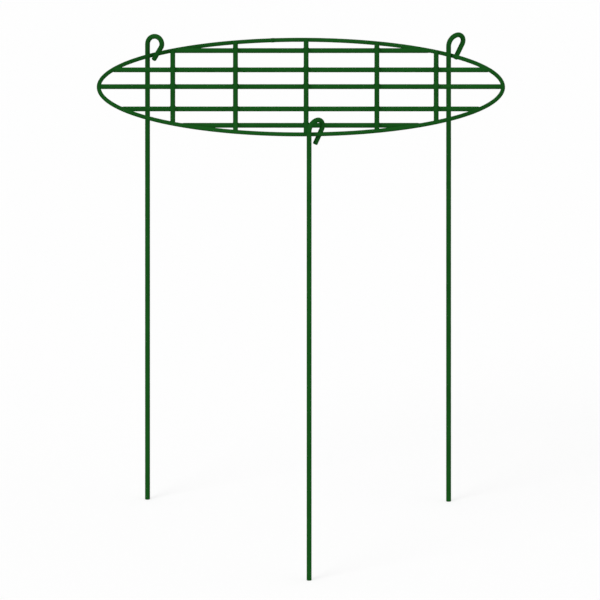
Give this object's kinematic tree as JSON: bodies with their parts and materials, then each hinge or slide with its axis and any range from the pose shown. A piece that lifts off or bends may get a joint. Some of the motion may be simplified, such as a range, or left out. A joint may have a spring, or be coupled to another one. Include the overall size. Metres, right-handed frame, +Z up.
{
  "type": "plant support",
  "caption": "Round wire grid carried on hooked wire legs. Stems grow up through its cells and are held apart.",
  "frame": {"origin": "on the ground, under the middle of the ring; the feet stand on z = 0", "axes": "+Z up along the legs, +X along the wires that run from side to side, -Y towards the front leg"},
  "size_m": [0.4064, 0.4117, 0.4779],
  "materials": {
    "ring_coating": "dark green coating, low gloss",
    "cross_wire_coating": "dark green coating, low gloss",
    "depth_wire_coating": "dark green coating, low gloss",
    "leg_coating": "dark green coating, low gloss"
  },
  "bodies": {
    "grid": {"ring": "ring_coating", "cross_wire_1": "cross_wire_coating", "cross_wire_2": "cross_wire_coating", "cross_wire_3": "cross_wire_coating", "cross_wire_4": "cross_wire_coating", "cross_wire_5": "cross_wire_coating", "depth_wire_1": "depth_wire_coating", "depth_wire_2": "depth_wire_coating", "depth_wire_3": "depth_wire_coating", "depth_wire_4": "depth_wire_coating", "depth_wire_5": "depth_wire_coating"},
    "left_leg": {"leg_left": "leg_coating"},
    "right_leg": {"leg_right": "leg_coating"},
    "front_leg": {"leg_front": "leg_coating"}
  },
  "joints": [
    {"name": "left_leg_fold", "type": "hinge", "parent": "grid", "child": "left_leg", "pos_m": [-0.14893, 0.13514, 0.4551], "axis": [-0.672, -0.7406, 0], "range_deg": [-241, 84]},
    {"name": "right_leg_fold", "type": "hinge", "parent": "grid", "child": "right_leg", "pos_m": [0.15069, 0.13317, 0.4551], "axis": [-0.6622, 0.7493, 0], "range_deg": [-57, 70]},
    {"name": "front_leg_fold", "type": "hinge", "parent": "grid", "child": "front_leg", "pos_m": [0.01333, -0.20066, 0.4551], "axis": [0.9978, 0.0663, 0], "range_deg": [-81, 87]}
  ]
}
